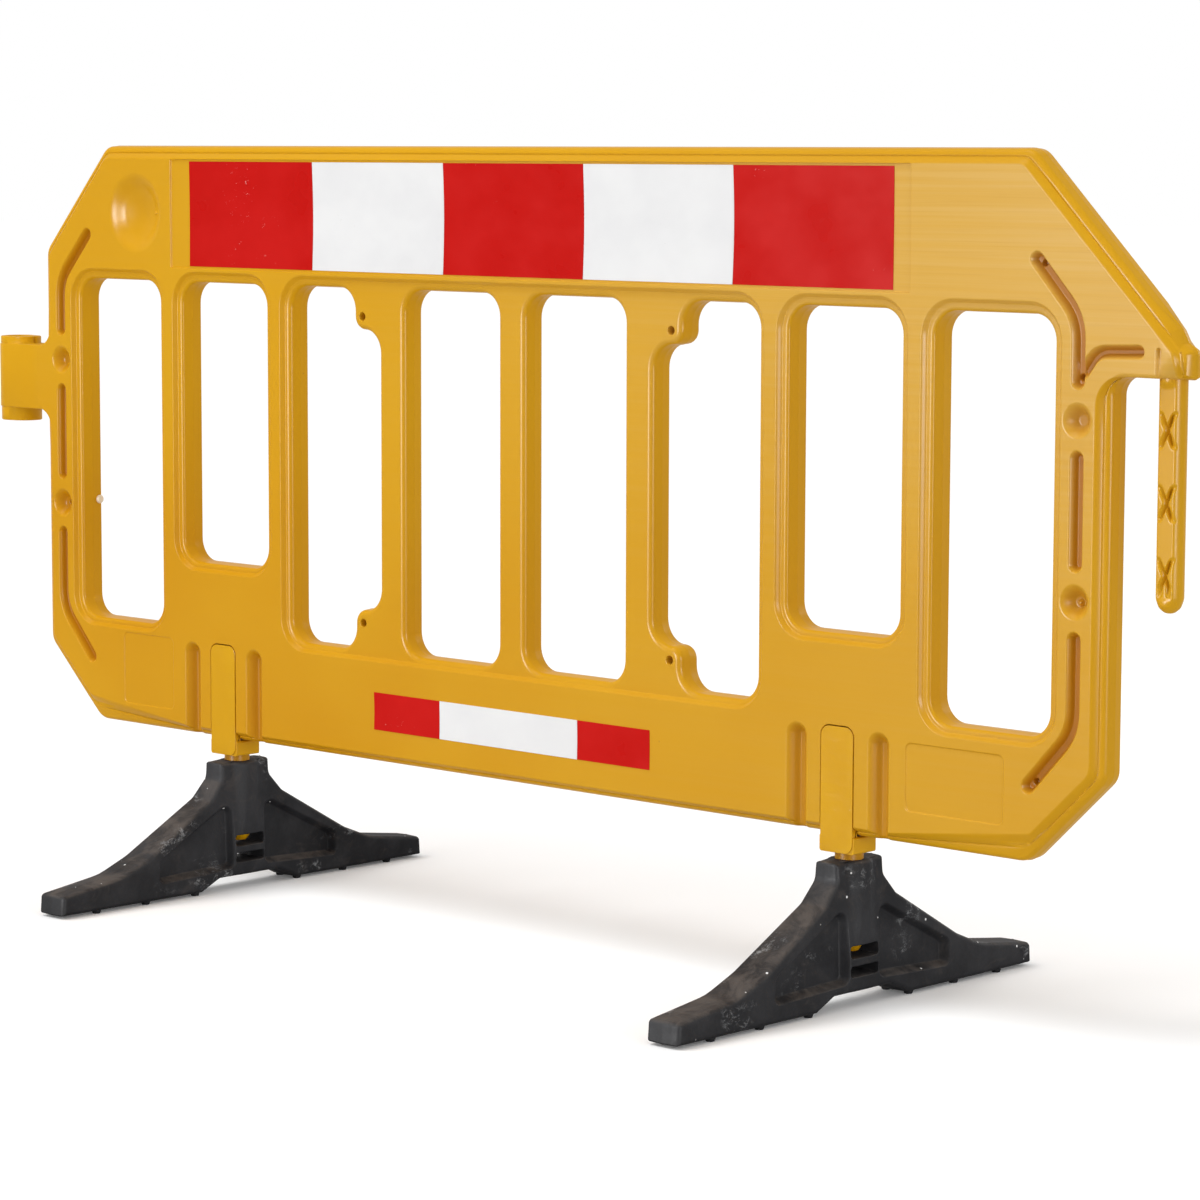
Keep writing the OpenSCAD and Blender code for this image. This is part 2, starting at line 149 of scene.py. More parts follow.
class Outline:
    """A closed outline, listed anticlockwise: straight runs joined by arcs.

    Its points are at most ARC_STEP apart on an arc and RUN millimetres apart on a straight.
    """

    ARC_STEP = math.radians(9)
    RUN = 40

    def __init__(self, corners, radii):
        self.corners = [np.array(c, float) for c in corners]
        self.radii = list(radii) if hasattr(radii, "__len__") else [radii] * len(corners)
        self.arcs = []
        self.edges = []
        n = len(self.corners)
        for i, corner in enumerate(self.corners):
            back = unit(self.corners[i - 1] - corner)
            ahead = unit(self.corners[(i + 1) % n] - corner)
            half = math.acos(max(-1, min(1, back @ ahead))) / 2
            turn = 1 if cross2(-back, ahead) > 0 else -1
            self.edges.append((back, ahead, half, turn))
            centre = corner + unit(back + ahead) * self.radii[i] / math.sin(half)
            start = math.atan2(back[1], back[0]) + turn * math.pi / 2
            self.arcs.append((centre, self.radii[i], turn, start, turn * (math.pi - 2 * half)))

    def shifted(self, d):
        """The parallel outline that lies d further in."""
        if d == 0:
            return self
        corners = [
            c + turn * unit(back + ahead) * d / math.sin(half)
            for c, (back, ahead, half, turn) in zip(self.corners, self.edges)
        ]
        radii = [max(r - turn * d, 0.3) for r, (_, _, _, turn) in zip(self.radii, self.edges)]
        return Outline(corners, radii)

    def points(self):
        out = []
        for i, (centre, r, _, start, sweep) in enumerate(self.arcs):
            steps = max(2, math.ceil(abs(sweep) / self.ARC_STEP))
            out += [on_circle(centre, r, start + sweep * k / steps) for k in range(steps + 1)]
            centre, r, _, start, _ = self.arcs[(i + 1) % len(self.arcs)]
            target = on_circle(centre, r, start)
            cuts = int(np.linalg.norm(target - out[-1]) / self.RUN)
            last = out[-1]
            out += [last + (target - last) * k / (cuts + 1) for k in range(1, cuts + 1)]
        return np.array(out)

    def distance(self, p):
        """Signed distance of points from the outline, positive inside it."""
        best = np.full(len(p), 1e9)
        out = np.full(len(p), -1e9)

        def take(d, valid):
            closer = valid & (np.abs(d) < best)
            best[closer] = np.abs(d)[closer]
            out[closer] = d[closer]

        for i, (centre, r, turn, start, sweep) in enumerate(self.arcs):
            rel = p - centre
            angle = (np.arctan2(rel[:, 1], rel[:, 0]) - start) * turn % (2 * math.pi)
            within = (angle <= abs(sweep) + 1e-6) | (angle > 2 * math.pi - 1e-6)
            take(turn * (r - np.linalg.norm(rel, axis=1)), within)
            a = on_circle(centre, r, start + sweep)
            centre, r, _, start, _ = self.arcs[(i + 1) % len(self.arcs)]
            b = on_circle(centre, r, start)
            length = np.linalg.norm(b - a)
            if length < 1e-6:
                continue
            along = (b - a) / length
            t = (p - a) @ along
            side = along[0] * (p - a)[:, 1] - along[1] * (p - a)[:, 0]
            take(side, (t >= -1e-6) & (t <= length + 1e-6))
        return out


class Disc:
    """A round outline."""

    def __init__(self, centre, r, steps=40):
        self.centre = np.array(centre, float)
        self.r = r
        self.steps = steps

    def shifted(self, d):
        return Disc(self.centre, max(self.r - d, 0.2), self.steps)

    def points(self):
        a = np.arange(self.steps) * 2 * math.pi / self.steps
        return self.centre + self.r * np.stack([np.cos(a), np.sin(a)], 1)

    def distance(self, p):
        return self.r - np.linalg.norm(p - self.centre, axis=1)


def rectangle(x0, x1, z0, z1, r):
    return Outline([(x0, z0), (x1, z0), (x1, z1), (x0, z1)], r)


class Channel:
    """A round-ended outline around an open line."""

    def __init__(self, line, half):
        self.line = np.array(line, float)
        self.half = half

    def shifted(self, d):
        return Channel(self.line, max(self.half - d, 0.3))

    def points(self):
        ahead = np.gradient(self.line, axis=0)
        ahead /= np.linalg.norm(ahead, axis=1)[:, None]
        side = np.stack([-ahead[:, 1], ahead[:, 0]], 1) * self.half
        turn = np.radians([-60, -30, 0, 30, 60])[:, None]

        def cap(middle, way):
            across = np.array([-way[1], way[0]])
            return middle + self.half * (np.cos(turn) * way + np.sin(turn) * across)

        end, start = cap(self.line[-1], ahead[-1]), cap(self.line[0], -ahead[0])
        return np.vstack([self.line - side, end, (self.line + side)[::-1], start])

    def distance(self, p):
        best = np.full(len(p), 1e9)
        for a, b in zip(self.line, self.line[1:]):
            t = np.clip((p - a) @ (b - a) / ((b - a) @ (b - a)), 0, 1)
            best = np.minimum(best, np.linalg.norm(p - a - t[:, None] * (b - a), axis=1))
        return self.half - best


def eased_line(corners, cut, steps=6):
    """An open line whose inner corners are rounded, starting `cut` before each."""
    out = [corners[0]]
    for before, corner, after in zip(corners, corners[1:], corners[2:]):
        c, b, a = (np.array(p, float) for p in (corner, before, after))
        near = min(cut, np.linalg.norm(b - c) / 2.1, np.linalg.norm(a - c) / 2.1)
        start, end = c + unit(b - c) * near, c + unit(a - c) * near
        for k in range(steps + 1):
            t = k / steps
            out.append(tuple((1 - t) ** 2 * start + 2 * t * (1 - t) * c + t * t * end))
    return out + [corners[-1]]


class Sunk:
    """An area sunk into a face. Its soft edge runs from `outside` the outline to `inside` it."""

    def __init__(self, outline, depth, outside, inside, front_only=False, steps=6):
        self.outline = outline
        self.depth = depth
        self.offsets = np.linspace(-outside, inside, steps + 1)
        self.front_only = front_only

    def rings(self):
        ends = [self.offsets[0] - MARGIN, self.offsets[-1] + MARGIN]
        return [self.outline.shifted(d).points() for d in [*self.offsets, *ends]]

    def sink(self, p):
        d = self.outline.distance(p)
        start, end = self.offsets[0], self.offsets[-1]
        return self.depth * ease((d - start) / (end - start))


ROUND_STEPS = np.radians([0, 18, 36, 54, 72, 90])


def round_offsets(r):
    """Distances in from a wall at which its foot, flash line and rounded edge are sampled."""
    return [0, FLASH, DRAFT] + [DRAFT + r * (1 - math.cos(a)) for a in ROUND_STEPS[1:]]


def edge_drop(d, height, r):
    """Drop of a wall with a rounded top edge below its top, at a distance d in from its foot."""
    flash = height - FLASH_HALF * d / FLASH
    wall = height - FLASH_HALF - (height - FLASH_HALF - r) * (d - FLASH) / (DRAFT - FLASH)
    t = np.clip((d - DRAFT) / r, 0, 1)
    arc = r - r * np.sqrt(np.clip(1 - (1 - t) ** 2, 0, 1))
    return np.where(d < FLASH, flash, np.where(d < DRAFT, wall, arc))


# ---------------------------------------------------------------- meshes

# How far to each side of a point the slope of a face is measured
SLOPE_STEP = 0.15
# Points of a triangulation that are closer than this become one
SAME_POINT = 0.02


def in_scene(name, data):
    """A new object of a mesh, light or camera, linked into the scene."""
    obj = bpy.data.objects.new(name, data)
    bpy.context.scene.collection.objects.link(obj)
    return obj


def add_object(name, points, faces, normals):
    """A smooth mesh object from points in millimetres."""
    mesh = bpy.data.meshes.new(name)
    mesh.from_pydata((np.asarray(points) * MM).tolist(), [], [list(map(int, f)) for f in faces])
    mesh.validate()
    mesh.shade_smooth()
    mesh.normals_split_custom_set_from_vertices([tuple(n) for n in normals])
    return in_scene(name, mesh)


def merged(*parts):
    """Several (points, faces, normals) as one."""
    points, faces, normals, base = [], [], [], 0
    for p, f, n in parts:
        points.append(np.asarray(p))
        normals.append(np.asarray(n))
        faces += [[i + base for i in face] for face in f]
        base += len(p)
    return np.vstack(points), faces, np.vstack(normals)


def used_only(faces, *columns):
    """Faces renumbered for only the points that they use, then each column for only those points."""
    used = np.unique(faces)
    index = np.full(len(columns[0]), -1)
    index[used] = np.arange(len(used))
    return index[faces], *(column[used] for column in columns)


def relief(boundary, holes, rings, thickness, origin, across, up):
    """A closed body seen from one side as an outline with holes, thick on each side of its middle plane.

    thickness(points, side) gives how far each point of the side stands out from the middle plane.
    """
    loops = [boundary.points()] + [h.points() for h in holes]
    points, edges = [], []
    for loop in loops + list(rings):
        first = len(points)
        points += [Vector(p) for p in loop]
        edges += [(first + i, first + (i + 1) % len(loop)) for i in range(len(loop))]
    flat, _, triangles, *_ = geometry.delaunay_2d_cdt(points, edges, [], 0, SAME_POINT)
    flat = np.array([tuple(p) for p in flat])
    triangles = np.array(triangles)
    middle = flat[triangles].mean(1)
    keep = boundary.distance(middle) > 0
    for h in holes:
        keep &= h.distance(middle) < 0
    triangles, flat = used_only(triangles[keep], flat)

    # A side of only one triangle lies on the rim, where the two faces share their points
    pairs = np.sort(np.vstack([triangles[:, [0, 1]], triangles[:, [1, 2]], triangles[:, [2, 0]]]), 1)
    unique, counts = np.unique(pairs, axis=0, return_counts=True)
    rim = np.zeros(len(flat), bool)
    rim[unique[counts == 1].ravel()] = True

    out = np.cross(across, up)
    place = origin + flat[:, :1] * across + flat[:, 1:] * up

    def slope(step, side):
        return (thickness(flat + step, side) - thickness(flat - step, side)) / (2 * SLOPE_STEP)

    sheets, normals = [], []
    for side in (1, -1):
        t = thickness(flat, side)
        du, dv = slope([SLOPE_STEP, 0], side), slope([0, SLOPE_STEP], side)
        t[rim] = 0
        sheets.append(place + side * t[:, None] * out)
        n = side * out - du[:, None] * across - dv[:, None] * up
        normals.append(n / np.linalg.norm(n, axis=1)[:, None])
    both = normals[0][rim] + normals[1][rim]
    normals[0][rim] = both / np.linalg.norm(both, axis=1)[:, None]

    count = len(flat)
    second = np.arange(count) + count
    second[rim] = np.flatnonzero(rim)
    back = second[triangles][:, ::-1]
    faces, points, normals = used_only(
        np.vstack([triangles, back]), np.vstack(sheets), np.vstack(normals)
    )
    return points, faces.tolist(), normals


def ring_faces(rows, steps, closed=False):
    """Quads between neighbouring rings of points, and from the last ring to the first when closed."""
    faces = []
    for i in range(rows if closed else rows - 1):
        j = (i + 1) % rows
        for k in range(steps):
            m = (k + 1) % steps
            faces.append([i * steps + k, i * steps + m, j * steps + m, j * steps + k])
    return faces


def revolve(profile, origin, axis, steps=48, shape=None):
    """A closed body of revolution from (radius, height) points that run from one pole to the other.

    shape(direction, height, radius) may change the radius. Poles are points with no radius.
    """
    axis = np.array(axis, float)
    side = unit(np.cross(axis, X if abs(axis[0]) < 0.9 else Y))
    other = np.cross(axis, side)
    points = []
    for r, h in profile:
        for k in range(steps):
            a = 2 * math.pi * k / steps
            d = math.cos(a) * side + math.sin(a) * other
            radius = r if shape is None or r == 0 else shape(d, h, r)
            points.append(origin + h * axis + radius * d)
    return weld(points, ring_faces(len(profile), steps))


def taken_from(mesh):
    """Points and faces of a bmesh."""
    mesh.verts.index_update()
    points = np.array([tuple(v.co) for v in mesh.verts])
    return points, [[v.index for v in f.verts] for f in mesh.faces]


def weld(points, faces):
    """Joins points in one place, drops faces that collapse, and gives smooth normals."""
    mesh = bmesh.new()
    made = [mesh.verts.new(p) for p in points]
    for f in faces:
        mesh.faces.new([made[i] for i in f])
    bmesh.ops.remove_doubles(mesh, verts=mesh.verts, dist=0.001)
    bmesh.ops.recalc_face_normals(mesh, faces=mesh.faces)
    mesh.normal_update()
    points, faces = taken_from(mesh)
    normals = np.array([tuple(v.normal) for v in mesh.verts])
    mesh.free()
    return points, faces, normals


def slab(outline, low, high, origin, bevel, steps):
    """A slab of an outline along X and Z, between two depths towards the front, with its edges rounded."""
    mesh = bmesh.new()
    rows = []
    for depth in (low, high):
        place = origin + outline[:, :1] * X + outline[:, 1:] * Z - depth * Y
        rows.append([mesh.verts.new(p) for p in place])
    n = len(outline)
    caps = [mesh.faces.new(rows[0][::-1]), mesh.faces.new(rows[1])]
    for i in range(n):
        j = (i + 1) % n
        mesh.faces.new([rows[0][i], rows[0][j], rows[1][j], rows[1][i]])
    edges = list({e for f in caps for e in f.edges})
    bmesh.ops.bevel(mesh, geom=edges, offset=bevel, segments=steps, profile=0.5, affect="EDGES")
    bmesh.ops.recalc_face_normals(mesh, faces=mesh.faces)
    points, faces = taken_from(mesh)
    normals = np.zeros_like(points)
    for f in mesh.faces:
        area = f.calc_area()
        for v in f.verts:
            normals[v.index] += np.array(f.normal) * area
    mesh.free()
    return points, faces, normals / np.linalg.norm(normals, axis=1)[:, None]


# ---------------------------------------------------------------- the panel


def edge_corners():
    """Corners of the panel's outline, from the lower corner at the loop end. The last four bound the tongue
    that carries the loop's plate."""
    b, t = PANEL_BOTTOM, PANEL_TOP
    nose, tongue = NOSE_X - 0.5, -HALF_LEN - TONGUE_X
    (low_x, low_z), (top_x, top_z) = LOWER_CUT, LOOP_END_CUT
    return [
        (-HALF_LEN, b + low_z), (-HALF_LEN + low_x, b), (HALF_LEN - low_x, b), (HALF_LEN, b + low_z),
        (HALF_LEN, ARM_Z), (nose, ARM_Z), (nose, 784), (1004, 792), (996, 807),
        (SLOPE_TOP_X, t), (-HALF_LEN + top_x, t), (-HALF_LEN, t - top_z),
        (-HALF_LEN, PLATE_Z[1]), (tongue, PLATE_Z[1]), (tongue, PLATE_Z[0]), (-HALF_LEN, PLATE_Z[0]),
    ]


EDGE_RADII = [25, 30, 30, 25, 20, 5, 10, 4, 12, 25, 25, 25, 13, 1, 1, 13]
EDGE = Outline(edge_corners(), EDGE_RADII)


def border_corners():
    """Pairs of corners that bound the border: one on the panel's outline, one on the flat face."""
    edge = edge_corners()
    inner = Outline(edge[:12], 1).shifted(BORDER).corners
    b = PANEL_BOTTOM
    (knee_x, knee_rise), (end_x, end_rise) = KNEE, BORDER_END
    low = [(-end_x, b + end_rise), (-knee_x, b + knee_rise), (knee_x, b + knee_rise), (end_x, b + end_rise)]
    below = [edge[1], (-knee_x, b - 0.01), (knee_x, b - 0.01), edge[2]]
    pairs = [(edge[0], inner[0])] + list(zip(below, low)) + [(edge[3], inner[3])]
    pairs.append((edge[4], (HALF_LEN - BORDER, ARM_Z + 1.5)))
    pairs += [(edge[5], (NOSE_X - 14, ARM_Z + 1)), (edge[6], (NOSE_X - 20.5, 782))]
    pairs += [(edge[i], inner[i]) for i in (9, 10, 11)]
    inset = 0.5
    left, top, bottom = edge[13][0] + inset, PLATE_Z[1] - inset, PLATE_Z[0] + inset
    plate = [(-HALF_LEN + BORDER, top), (left, top), (left, bottom), (-HALF_LEN + BORDER, bottom)]
    return pairs + list(zip(edge[12:], plate))


OUTER_RADII = [25, 30, 20, 20, 30, 25, 20, 5, 10, 25, 25, 25, 13, 1, 1, 13]
FACE_RADII = [22, 10, 20, 20, 10, 22, 34, 1.5, 6, 18, 18, 20, 27, 1, 1, 27]
FACE = Outline([inner for _, inner in border_corners()], FACE_RADII)
# Share of the way from the edge to the flat face, and how deep the border lies there
BAND_AT = [0, 0.28, 0.44, 0.50, 0.55, 0.60, 0.75, 0.9, 1]
BAND_SINK = [10, 8.2, 7.0, 6.9, 7.9, 6.3, 3.6, 1.0, 0]


def band_outline(share):
    """An outline part of the way from the edge to the flat face."""
    outer, inner = (np.array(c, float) for c in zip(*border_corners()))
    radii = np.array(OUTER_RADII) * (1 - share) + np.array(FACE_RADII) * share
    return Outline(outer * (1 - share) + inner * share, radii)


def windows():
    """Throats of the windows. The third and the sixth have ears for the sign plate's holes."""
    ear = SIGN_HALF[0] + EAR_R
    low = SIGN_POS[2] - SIGN_HALF[1] + EAR_R
    high = SIGN_POS[2] + SIGN_HALF[1] - EAR_R
    z1 = WINDOW_TOP
    out = []
    for i, mid in enumerate(WINDOW_MID):
        x0, x1 = mid - WINDOW_HALF, mid + WINDOW_HALF
        z0 = WINDOW_BOTTOM[i in SHORT]
        corners = [(x0, z0), (x1, z0), (x1, z1), (x0, z1)]
        inward = ()
        if i == 2:
            corners = [
                (x0, z0), (-ear, z0), (-ear, low), (x1, low),
                (x1, high), (-ear, high), (-ear, z1), (x0, z1),
            ]
            inward = (2, 5)
        elif i == 5:
            corners = [
                (ear, z0), (x1, z0), (x1, z1), (ear, z1),
                (ear, high), (x0, high), (x0, low), (ear, low),
            ]
            inward = (4, 7)
        out.append(Outline(corners, [EAR_R if k in inward else WINDOW_R for k in range(len(corners))]))
    return out


def sign_holes():
    return [
        Disc((a * SIGN_HALF[0], SIGN_POS[2] + b * SIGN_HALF[1]), SIGN_DIMS["hole_r_mm"], 20)
        for a in (-1, 1) for b in (-1, 1)
    ]


# Rectangles of the panel's face as (x0, x1, z0, z1, corner radius), from the panel's middle
STRIP_RECESS = (-639, 639, 836, 982, 2)
HOOK_END_PLATE = (640, 781, 243, 323, 8)
LOOP_END_PLATE = (-745, -641, 233, 332, 8)
CONE_AT = (-713, 909)
CONE_R = 54


def levels():
    """Areas that lower the face: rims, field, strip recess, blank plates and the bowl-shaped cone."""

    def rim(first, last, inside):
        """The sunk rim around one window, or the sunk field around a row of them."""
        x0, x1 = WINDOW_MID[first] - WINDOW_HALF - RIM, WINDOW_MID[last] + WINDOW_HALF + RIM
        z0, z1 = WINDOW_BOTTOM[first in SHORT] - LOWER_RIM, WINDOW_TOP + RIM
        return Sunk(rectangle(x0, x1, z0, z1, WINDOW_R + RIM), RIM_DEPTH, 1.5, inside)

    out = [rim(i, i, 4.5) for i in (0, 1, 6, 7)] + [rim(2, 5, 5)]
    out.append(Sunk(rectangle(*STRIP_RECESS), HALF_T - SHEET_BACK, 0.2, 0.7, steps=3))
    out.append(Sunk(rectangle(*HOOK_END_PLATE), 1.4, 0.6, 1.2, steps=3))
    out.append(Sunk(rectangle(*LOOP_END_PLATE), 0.9, 0.6, 1.2, steps=3))
    cone = Disc(CONE_AT, CONE_R, 72)
    out += [Sunk(cone, 6, 1.5, 24, steps=8), Sunk(cone, 11, 1.5, 52, steps=8)]
    return out


GROOVE_X = 875
GROOVE_HALF = 8.5
GROOVE_DEPTH = 10
DIMPLE_Z = (503, 703)
DIMPLE_R = 20
DIMPLE_DEPTH = 13
# The flutes beside a leg bracket, from its middle, and the bottom that they share with its seat
FLUTE_DX = 62
FLUTE_HALF = 15.5
FLUTE_TOP = 330
FLUTE_DEPTH = 13
OPEN_BOTTOM = 150
SEAT_GAP = 0.8
SEAT_DEPTH = 12


def cuts():
    """Deep features: grooves, dimples, a slit, flutes, seats of the leg brackets, edges of sign holes."""
    out = []

    def groove(line, half=GROOVE_HALF):
        out.append(Sunk(Channel(eased_line(line, 24), half), GROOVE_DEPTH, 1.8, 5.5))

    for s in (-1, 1):
        x = s * GROOVE_X
        groove([(x, 545), (x, 661)])
        groove([(x, 461), (x, 358), (s * 815, 292)])
        groove([(x, 746), (x, 815), (s * 817, 878)])
        for z in DIMPLE_Z:
            out.append(Sunk(Disc((x, z), DIMPLE_R), DIMPLE_DEPTH, 1, 15))
    groove([(GROOVE_X + 8, 757), (899, 779), (955, 781)], GROOVE_HALF - 1.5)
    out.append(Sunk(Channel([(981, 738), (981, 783)], 3.2), 5, 1, 2.4, steps=4))
    for leg in LEG_X:
        mid = leg - PANEL_X
        for s in (-1, 1):
            x = mid + s * FLUTE_DX
            flute = rectangle(x - FLUTE_HALF, x + FLUTE_HALF, OPEN_BOTTOM, FLUTE_TOP, 15)
            out.append(Sunk(flute, FLUTE_DEPTH, 1.5, 13, steps=8))
        half = TAB_HALF + SEAT_GAP
        seat = rectangle(mid - half, mid + half, OPEN_BOTTOM, TAB_TOP + SEAT_GAP, 12.4)
        out.append(Sunk(seat, SEAT_DEPTH, 0.5, 0.3, front_only=True, steps=3))
    for hole in sign_holes():
        out.append(Sunk(hole.shifted(-2.5), 1.5, 0.8, 1.5, steps=3))
    return out


WINDOWS, HOLES, LEVELS, CUTS = windows(), sign_holes(), levels(), cuts()
# The nubs in the lower dimple at the hook end and in the cone
NUBS = [
    Sunk(Disc((GROOVE_X + 2, 502), 5, 20), -5, 0, 4, steps=4),
    Sunk(Disc((-679, 909), 3.6, 16), -2.2, 0, 2.6, steps=3),
]
# The small pits in a dimple at the loop end and in the ends of three grooves
PITS = [
    Sunk(Disc(at, 4.2, 16), 7, 0.5, 2.6, steps=3)
    for at in ((-GROOVE_X + 3, 503), (821, 874), (GROOVE_X, 750), (820, 297))
]


def window_edge_r(i):
    return INNER_WINDOW_R if 2 <= i <= 5 else OUTER_WINDOW_R


def nose_blend(p):
    return ease((p[:, 0] - (NOSE_X - 42)) / 20)


def panel_thickness(p, side):
    """How far the panel's face stands out from its middle plane. Side 1 is the front."""
    d_edge = EDGE.distance(p)
    beyond = np.maximum(-FACE.distance(p), 0)
    share = np.where(beyond > 0, d_edge / np.maximum(d_edge + beyond, 1e-6), 1)
    level = np.interp(np.clip(share, 0, 1), BAND_AT, BAND_SINK)
    for s in LEVELS:
        level = level + s.sink(p)
    cut = np.zeros(len(p))
    for s in CUTS:
        if side > 0 or not s.front_only:
            cut = np.maximum(cut, s.sink(p))
    level = (np.maximum(level, 0) ** 6 + cut ** 6) ** (1 / 6)
    for s in NUBS + PITS:
        level = level + s.sink(p)
    top = HALF_T - level
    r = EDGE_R + (NOSE_R - EDGE_R) * nose_blend(p)
    drop = edge_drop(d_edge, top, np.minimum(r, top - 0.5))
    for i, w in enumerate(WINDOWS):
        drop = np.maximum(drop, edge_drop(-w.distance(p), top, window_edge_r(i)))
    for h in HOLES:
        drop = np.maximum(drop, edge_drop(-h.distance(p), top, 1))
    return top - drop


def panel_rings():
    out = [EDGE.shifted(d).points() for d in round_offsets(EDGE_R)[1:]]
    out += [band_outline(s).points() for s in BAND_AT[2:-1]]
    out += [FACE.shifted(d).points() for d in (0, MARGIN)]
    for i, w in enumerate(WINDOWS):
        r = window_edge_r(i)
        out += [w.shifted(-d).points() for d in [*round_offsets(r)[1:], r + MARGIN]]
    for h in HOLES:
        out += [h.shifted(-d).points() for d in round_offsets(1)[1::2]]
    for s in LEVELS + CUTS + NUBS + PITS:
        out += s.rings()
    return out


def loop_part():
    """The coupling loop: a tube with an open bore, wrapped by a plate that runs into the panel."""
    centre_x, _, centre_z = LOOP_POS
    half = LOOP_DIMS["length_mm"] / 2
    bore = LOOP_DIMS["r_mm"]
    chamfer = 1
    tube, sleeve = 25.8, 27
    back_dx, back_r = 12, 23.4
    low, high = centre_z - half, centre_z + half
    web_end = (-HALF_LEN + 6) + PANEL_X - centre_x
    fall = (sleeve - HALF_T) / (-HALF_LEN - 12 + PANEL_X - centre_x)
    steps = 144
    angles = [2 * math.pi * k / steps for k in range(steps)]

    def tube_reach(a):
        """The tube is a little longer towards the panel."""
        c, s = math.cos(a), math.sin(a)
        lean = (tube - back_r) / back_dx
        flat = tube / (abs(s) * math.sqrt(1 - lean**2) + c * lean) if c > 0 else tube
        at = flat * c
        if c <= lean or at < tube * lean:
            return tube
        if at <= back_dx + back_r * lean:
            return flat
        return back_dx * c + math.sqrt(back_r**2 - (back_dx * s) ** 2)

    def plate_reach(a):
        """The plate's sides narrow from the tube's width to the panel's."""
        c, s = math.cos(a), abs(math.sin(a))
        if c <= fall:
            return sleeve
        return min(max(sleeve, sleeve / max(s + fall * c, 1e-6)), web_end / c)

    def slit_reach(a):
        off = abs((a + math.pi) % (2 * math.pi) - math.pi)
        return tube_reach(a) - 2.5 * (1 - ease(off / 0.07))

    rows = []

    def ring(radii, z):
        rows.append([
            (centre_x + r * math.cos(a), r * math.sin(a), z) for r, a in zip(radii, angles)
        ])

    def add(reach, gap, z):
        ring([max(reach(a) - gap, bore + chamfer) for a in angles], z)

    ring([bore] * steps, low + chamfer)
    ring([bore] * steps, high - chamfer)
    ring([bore + chamfer] * steps, high)
    soft = ((1.5, 0), (0.45, 0.45), (0, 1.5))
    for gap, dz in soft:
        add(slit_reach, gap, high - dz)
    add(slit_reach, 0, PLATE_Z[1] + 0.5)
    for gap, dz in soft:
        add(plate_reach, gap, PLATE_Z[1] - dz)
    for gap, dz in soft[::-1]:
        add(plate_reach, gap, PLATE_Z[0] + dz)
    add(tube_reach, 0, PLATE_Z[0] - 0.5)
    for gap, dz in soft[::-1]:
        add(tube_reach, gap, low + dz)
    ring([bore + chamfer] * steps, low)
    return weld([p for row in rows for p in row], ring_faces(len(rows), steps, closed=True))


PEG_TIP = 498
# How far the peg's flat front lies from its axis, and how squarely its surface faces the front there
PEG_FLAT = 11.5
FLAT_FACING = 0.3
NOTCH_Z = (539, 618, 697)
NOTCH_DEPTH = 7
NOTCH_WIDTH = 4.2
# How far above and below its middle a notch keeps its full depth
NOTCH_REACH = 14


def peg_part():
    """The hook's peg: round, with a flat front, a blunt tip and crossed notches in the flat."""
    r = PEG_DIMS["r_mm"]
    tip = PEG_TIP
    corners = [(0, tip), (r * 0.35, tip + 0.5), (r * 0.78, tip + 6), (r, tip + 16), (r, tip + 30)]
    profile = eased_line(corners, 3, 3)
    profile += [(r, z) for z in np.arange(tip + 31.5, ARM_Z + 8, 1.5)] + [(0, ARM_Z + 8)]

    def shape(d, h, radius):
        facing = -d[1]
        if facing < FLAT_FACING:
            return radius
        ends = float(ease((h - tip - 8) / 12) * ease((ARM_Z - 2 - h) / 8))
        radius = radius + (min(radius, PEG_FLAT / facing) - radius) * ends
        across = d[0] * radius
        cut = 0
        for mid in NOTCH_Z:
            for s in (-1, 1):
                off = abs((h - mid) * 0.5 - s * across)
                inside = 1 - ease((abs(h - mid) - NOTCH_REACH) / 7)
                cut = max(cut, NOTCH_DEPTH * inside * (1 - ease(off / NOTCH_WIDTH)))
        return radius - float(cut) * min(1, (facing - FLAT_FACING) / 0.35)

    return revolve(profile, np.array([PEG_POS[0], 0, 0]), Z, 96, shape)


def panel():
    """The moulded panel with its loop and hook.

    Two attributes guide its material: "hollow" is how deep a point lies in a groove or other deep cut, for
    the painted shade there, and "face" is 1 on the flat face and 0 on the border and in the windows, for
    the painted sheen.
    """
    origin = np.array([PANEL_X, 0, 0])
    body = relief(EDGE, WINDOWS + HOLES, panel_rings(), panel_thickness, origin, X, Z)
    whole = merged(body, loop_part(), peg_part())
    obj = add_object("panel_moulding", *whole)
    flat = whole[0][:, [0, 2]] - [PANEL_X, 0]
    # How deep each point lies in the deep cuts: the material paints shade by it, darker deeper in
    deep = [(s, 1 if isinstance(s.outline, Channel) else 0.5) for s in CUTS if s.depth > 5]
    hollow = np.max([weight * s.sink(flat) / s.depth for s, weight in deep], axis=0)
    inner = FACE.distance(flat)
    for w in WINDOWS:
        inner = np.minimum(inner, -w.distance(flat) - 3)
    obj.data.attributes.new("hollow", "FLOAT", "POINT").data.foreach_set("value", hollow)
    obj.data.attributes.new("face", "FLOAT", "POINT").data.foreach_set("value", ease(inner / 2 + 0.5))
    return obj


# ---------------------------------------------------------------- leg brackets, feet, strips, plug


BLOCK_Z = 182
BLOCK_HALF = 26
TAB_R = 12
TAB_THICK = 10
FOOT_PEG_R = 17


